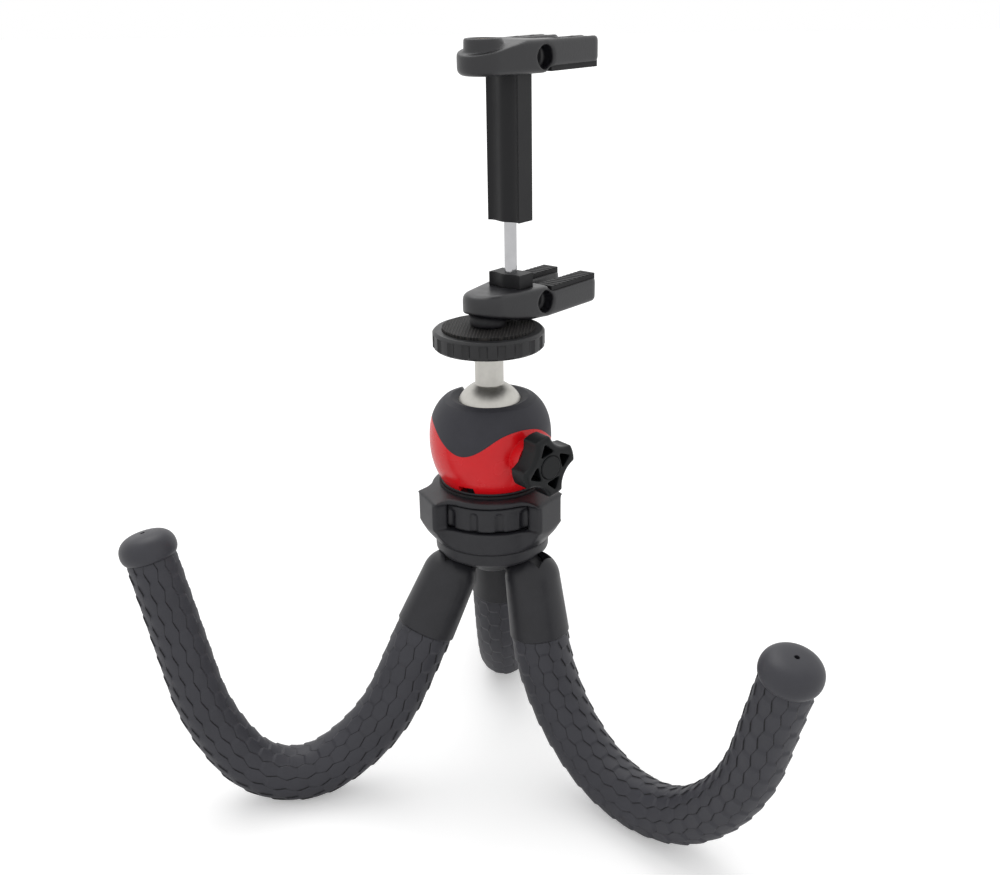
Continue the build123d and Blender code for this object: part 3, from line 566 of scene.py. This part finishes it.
def leg_line(bend, distance):
    """Point, direction and bend normal of a leg's line at a distance from its pivot."""
    course = heading(bend["lug"], -bend["drop"])
    end = heading(bend["tip_azimuth"], bend["rise"])
    normal, total = course.cross(end).normalized(), course.angle(end)
    point = heading(bend["lug"], 0) * PIVOT_RADIUS + Vector((0, 0, PIVOT_HEIGHT))
    step = min(distance, bend["root"] * MM)
    point, left = point + course * step, distance - step
    for length_share, turn_share in zip(bend["arcs"], bend["turns"]):
        length = length_share * LEG_REACH
        step = min(left, length)
        radius, angle = length / (total * turn_share), total * turn_share * step / length
        across = normal.cross(course)
        point = point + course * (radius * sin(angle)) + across * (radius * (1 - cos(angle)))
        course = course * cos(angle) + across * sin(angle)
        left -= step
    return point + course * left, course, normal


bottoms = {}
for leg, bend in LEG_BENDS.items():
    spots = [COLLAR_LENGTH + MM * i for i in range(int((LEG_REACH - COLLAR_LENGTH) / MM))]
    bottoms[leg] = min(spots, key=lambda spot: leg_line(bend, spot)[0].z)
    print(leg, "leg is lowest", round(bottoms[leg] / MM), "mm from its pivot")

# %% [markdown]
# ## The relief of the scales
# Each scale rises towards the foot and to one side, so that it steps down sharply on one of its
# slanted sides and hardly at all on the other. The steps show on the outline of the leg, so they
# are modelled and not only drawn as bump. A point belongs to the nearer of the two interlaced
# sets of centres, and the lift passes smoothly from one to the other.

# %% Height of the scales
SCALE_LIFT = 0.5 * MM
SIDE_TILT = 0.5
STEP_SHARE = 0.14
BLEND_WIDTH = 0.1


def wrap(value, half):
    """Value brought into the span from minus half to half by whole periods."""
    return (value + half) % (2 * half) - half


def rise_of(across, along):
    """Lift of one scale at a place counted from its centre in columns and rows."""
    tilt = -SIDE_TILT * across
    if along < 0.5 - STEP_SHARE:
        return (along + 0.5) / (1 - STEP_SHARE) + tilt
    return (0.5 - along) / STEP_SHARE + tilt


def scale_lift(columns, rows):
    """Share of the lift at a place counted in columns round the leg and rows along it."""
    first = wrap(columns, 1), wrap(rows, 0.5)
    second = wrap(columns - 1, 1), wrap(rows - 0.5, 0.5)
    nearer = first[0] ** 2 + first[1] ** 2 - second[0] ** 2 - second[1] ** 2
    share = min(1.0, max(0.0, 0.5 + nearer / (2 * BLEND_WIDTH)))
    share = share * share * (3 - 2 * share)
    return rise_of(*first) * (1 - share) + rise_of(*second) * share


print("a scale's middle is lifted by", round(scale_lift(0, 0) * SCALE_LIFT / MM, 2), "mm")

# %% [markdown]
# ## Tubes along a leg
# A flat grid is rolled into a tube and laid along the leg's line, row by row, and its two open
# ends are filled. Where the leg stands on the floor the rubber is pressed flat. Sweeping a circle
# along a curve would be shorter, but gives no hold on each point for the scales.

# %% Roll a grid into a tube
MERGE_DISTANCE = 0.01 * MM


def leg_tube(name, bend, start, end, around, rows, radius_at):
    """Closed tube along a leg's line; radius_at gives its radius for a turn and a distance."""
    mesh = bmesh.new()
    mesh.loops.layers.uv.new("UVMap")
    bmesh.ops.create_grid(mesh, x_segments=around, y_segments=rows, size=0.5, calc_uvs=True)
    stations = [start + (end - start) * row / rows for row in range(rows + 1)]
    lines = [leg_line(bend, distance) for distance in stations]
    for vert in mesh.verts:
        turn_share, row = vert.co.x + 0.5, round((vert.co.y + 0.5) * rows)
        distance, (point, course, normal) = stations[row], lines[row]
        angle = 2 * pi * turn_share
        out = normal * cos(angle) + normal.cross(course) * sin(angle)
        place = point + out * radius_at(turn_share, distance)
        vert.co = (place.x, place.y, max(place.z, 0.0))
    bmesh.ops.remove_doubles(mesh, verts=mesh.verts[:], dist=MERGE_DISTANCE)
    rims = [edge for edge in mesh.edges if edge.is_boundary]
    bmesh.ops.holes_fill(mesh, edges=rims, sides=0)
    bmesh.ops.recalc_face_normals(mesh, faces=mesh.faces[:])
    for face in mesh.faces:
        face.smooth = len(face.verts) == 4
    data = bpy.data.meshes.new(name)
    mesh.to_mesh(data)
    mesh.free()
    piece = bpy.data.objects.new(name, data)
    scene.collection.objects.link(piece)
    return piece


print("points closer than", MERGE_DISTANCE / MM, "mm are merged at a tube's seam")

# %% [markdown]
# ## Rubber skins and wire cores
# The skin tapers from the collar to the foot, and its scales fade out where it enters them.

# %% Lay skins and wires on the legs
SKIN_ROOT_RADIUS = 10.45 * MM
SKIN_TIP_RADIUS = 8.95 * MM
SKIN_COLUMNS, SKIN_ROWS = 168, 420
WIRE_RADIUS = 2.6 * MM
WIRE_START = 9.0 * MM
WIRE_TAIL = 5.0 * MM
WIRE_COLUMNS, WIRE_ROWS = 16, 80
FADE = 2.0 * MM
BEND_REACH = 42.0 * MM


def skin_radius(turn_share, distance):
    """Radius of the skin with its scales at a share of a turn and a distance from the pivot."""
    share = (distance - COLLAR_LENGTH) / (LEG_REACH - COLLAR_LENGTH)
    plain = SKIN_ROOT_RADIUS + (SKIN_TIP_RADIUS - SKIN_ROOT_RADIUS) * share
    fade = min(1.0, (distance - COLLAR_LENGTH) / FADE, (LEG_REACH - distance) / FADE)
    lift = scale_lift(turn_share * SCALE_COLUMNS, distance / SCALE_PITCH)
    return plain + SCALE_LIFT * lift * max(0.0, fade)


def wire_radius(turn_share, distance):
    """Radius of the wire, the same everywhere."""
    return WIRE_RADIUS


for leg, bend in LEG_BENDS.items():
    skin = leg_tube(
        f"{leg}_skin", bend, COLLAR_LENGTH, LEG_REACH, SKIN_COLUMNS, SKIN_ROWS, skin_radius)
    core = leg_tube(
        f"{leg}_wire", bend, WIRE_START, LEG_REACH + WIRE_TAIL, WIRE_COLUMNS, WIRE_ROWS,
        wire_radius)
    skin.data.materials.append(skin_rubber)
    core.data.materials.append(zinc)
    near, far = (leg_line(bend, bottoms[leg] + side * BEND_REACH)[0] for side in (-1, 1))
    for piece, solid in ((skin, f"{leg}_sleeve"), (core, f"{leg}_core")):
        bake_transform(piece)
        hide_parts(solid)
    print(leg, "skin has", len(skin.data.polygons), "faces")

# %% [markdown]
# ## Spring of the clamp
# Inside the slide tube a steel coil pulls the jaws together. It is squeezed as the clamp opens.
# One small circle of wire is spun round the rod and raised a little at each step. A Screw
# modifier could wind it too, but would need an object off the origin.

# %% Wind the spring
SPRING_LOW = 215.9 * MM
SPRING_HIGH = 245.1 * MM
SPRING_RADIUS = 2.675 * MM
SPRING_WIRE = 0.3 * MM
SPRING_WIRE_SIDES = 8
SPRING_TURNS = 14
SPRING_STEPS = 20
ROD_AZIMUTH = 55.2
ROD_DISTANCE_MM = 13.0
ROD_PLACE = heading(ROD_AZIMUTH, 0) * ROD_DISTANCE_MM * MM

coil = bmesh.new()
wire_place = Matrix.Translation(ROD_PLACE + Vector((SPRING_RADIUS, 0, SPRING_LOW)))
wire = bmesh.ops.create_circle(
    coil, segments=SPRING_WIRE_SIDES, radius=SPRING_WIRE,
    matrix=wire_place @ Matrix.Rotation(pi / 2, 4, "X"),
)
steps = SPRING_TURNS * SPRING_STEPS
bmesh.ops.spin(
    coil, geom=wire["verts"] + coil.edges[:], cent=ROD_PLACE, axis=(0, 0, 1),
    dvec=(0, 0, (SPRING_HIGH - SPRING_LOW) / steps), angle=2 * pi * SPRING_TURNS, steps=steps,
)
bmesh.ops.holes_fill(coil, edges=[edge for edge in coil.edges if edge.is_boundary], sides=0)
bmesh.ops.recalc_face_normals(coil, faces=coil.faces[:])
for face in coil.faces:
    face.smooth = True
spring_mesh = bpy.data.meshes.new("spring_coil")
coil.to_mesh(spring_mesh)
coil.free()
spring_mesh.materials.append(zinc)
print("spring has", len(spring_mesh.polygons), "faces")

# %% [markdown]
# ## The spring on the clamp
# When the upper jaw is pulled up, the coil is pressed against its upper end. Simulating a spring
# would be slow and change little, so the piece simply rides on the clamp's body at its rest
# length.

# %% Hang the spring on the clamp
spring = bpy.data.objects.new("spring_coil", spring_mesh)
scene.collection.objects.link(spring)
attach(spring, "phone_clamp")
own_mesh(spring)
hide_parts("clamp_spring")
print(spring.name, "is", round((SPRING_HIGH - SPRING_LOW) / MM, 1), "mm long at rest")

# %% [markdown]
# ## Moulded pieces with round edges
# A mould has no sharp edges: the hub, its wheel, the jaws and the knob are rounded wherever two
# of their faces meet. Bevelling each edge fails where many short edges meet at the windows. So
# the solid of the piece is copied, rebuilt from a grid of small cubes and smoothed, which rounds
# all its edges alike and leaves its flat faces where they are.

# %% Round the moulded pieces
# Each piece with the body it rides on, the size of its cubes in millimetres, and how many times it
# is smoothed
SOFT_PIECES = {
    "hub_housing": ("hub", 0.45, 16),
    "hub_base": ("hub", 0.45, 4),
    "lower_jaw": ("phone_clamp", 0.4, 22),
    "upper_jaw": ("upper_jaw", 0.4, 22),
    "clamp_knob": ("knob", 0.3, 8),
    "lock_wheel": ("lock_wheel", 0.4, 3),
}
SOLID_MERGE = 0.001 * MM
SMOOTH_FACTOR = 0.5


def soften(name, body, cube_mm, rounds):
    """Copy of a solid piece with all its edges rounded, put in that piece's place."""
    mesh = bmesh.new()
    mesh.from_mesh(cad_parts[name].data)
    bmesh.ops.remove_doubles(mesh, verts=mesh.verts[:], dist=SOLID_MERGE)
    data = bpy.data.meshes.new(f"{name}_raw")
    mesh.to_mesh(data)
    mesh.free()
    piece = bpy.data.objects.new(f"{name}_soft", data)
    scene.collection.objects.link(piece)
    cubes = piece.modifiers.new("cubes", "REMESH")
    cubes.mode, cubes.voxel_size = "VOXEL", cube_mm * MM
    wear = piece.modifiers.new("wear", "SMOOTH")
    wear.factor, wear.iterations = SMOOTH_FACTOR, rounds
    graph = bpy.context.evaluated_depsgraph_get()
    final = bpy.data.meshes.new_from_object(piece.evaluated_get(graph))
    piece.modifiers.clear()
    piece.data = final
    final.shade_smooth()
    final.materials.clear()
    final.materials.append(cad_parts[name].data.materials[0])
    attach(piece, body)
    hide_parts(name)
    return piece


for name, (body, cube_mm, rounds) in SOFT_PIECES.items():
    piece = soften(name, body, cube_mm, rounds)
    print(piece.name, "has", len(piece.data.polygons), "faces")

# %% [markdown]
# ## Floor
# A product picture is taken on white paper that swings up behind the object. A large flat floor
# does for it. The paper is written as nearly white, and what the camera sees of it is lifted a
# little, so that it reaches white away from the object and still keeps the soft shadow under the
# legs.

# %% Lay the paper
FLOOR_HALF = 6.0
PAPER_LIFT = 0.3

floor_mesh = bpy.data.meshes.new("floor")
sheet = bmesh.new()
bmesh.ops.create_grid(sheet, x_segments=1, y_segments=1, size=FLOOR_HALF)
sheet.to_mesh(floor_mesh)
sheet.free()
floor = bpy.data.objects.new("floor", floor_mesh)
scene.collection.objects.link(floor)

# Uncoated paper: white and fully matt
paper, tree, shader = new_material("studio_paper", "#f2f2f2", 1.0)
mottle(tree, shader, "#f1f1f1", "#f4f4f4", 300.0, 0.95, 1.0)
paths = add_node(tree, "ShaderNodeLightPath")
lift = add_node(
    tree, "ShaderNodeMath", {0: paths.outputs["Is Camera Ray"], 1: PAPER_LIFT},
    operation="MULTIPLY",
)
glow = add_node(
    tree, "ShaderNodeEmission", {"Color": (1, 1, 1, 1), "Strength": lift.outputs["Value"]})
both = add_node(tree, "ShaderNodeAddShader", {0: shader.outputs[0], 1: glow.outputs[0]})
tree.links.new(both.outputs[0], tree.nodes["Material Output"].inputs["Surface"])
floor_mesh.materials.append(paper)
print("floor is", 2 * FLOOR_HALF, "m wide")

# %% [markdown]
# ## Light
# The real picture was lit softly from all round. Softboxes could be set up for that, but a plain
# white world does it with less noise. The camera and mirror-like surfaces see it at full white,
# and it lights the object a little less. A very soft sun from above and behind on the left adds
# the gentle shine on upper faces.

# %% World and roof light
SKY_LEVEL = 0.8
ROOF_LEVEL = 0.9
ROOF_SPREAD = 50.0
ROOF_SIDE = Vector((-0.25, 0.45, 1.0))

world = bpy.data.worlds.new("studio")
scene.world = world
world.use_nodes = True
tree = world.node_tree
tree.nodes.clear()
paths = add_node(tree, "ShaderNodeLightPath")
seen = add_node(
    tree, "ShaderNodeMath",
    {0: paths.outputs["Is Camera Ray"], 1: paths.outputs["Is Glossy Ray"]}, operation="MAXIMUM",
)
seen = add_node(
    tree, "ShaderNodeMath", {0: seen.outputs["Value"], 1: paths.outputs["Is Transmission Ray"]},
    operation="MAXIMUM",
)
strength = add_node(
    tree, "ShaderNodeMapRange",
    {"Value": seen.outputs["Value"], "From Min": 0.0, "From Max": 1.0, "To Min": SKY_LEVEL,
     "To Max": 1.0},
)
sky = add_node(
    tree, "ShaderNodeBackground",
    {"Color": (1, 1, 1, 1), "Strength": strength.outputs["Result"]},
)
add_node(tree, "ShaderNodeOutputWorld", {"Surface": sky.outputs[0]})

sun = bpy.data.lights.new("roof_light", "SUN")
sun.angle = radians(ROOF_SPREAD)
sun.energy = ROOF_LEVEL
roof = bpy.data.objects.new("roof_light", sun)
scene.collection.objects.link(roof)
roof.matrix_world = ROOF_SIDE.to_track_quat("Z", "Y").to_matrix().to_4x4()
print("sky at", SKY_LEVEL, "and roof light at", ROOF_LEVEL)
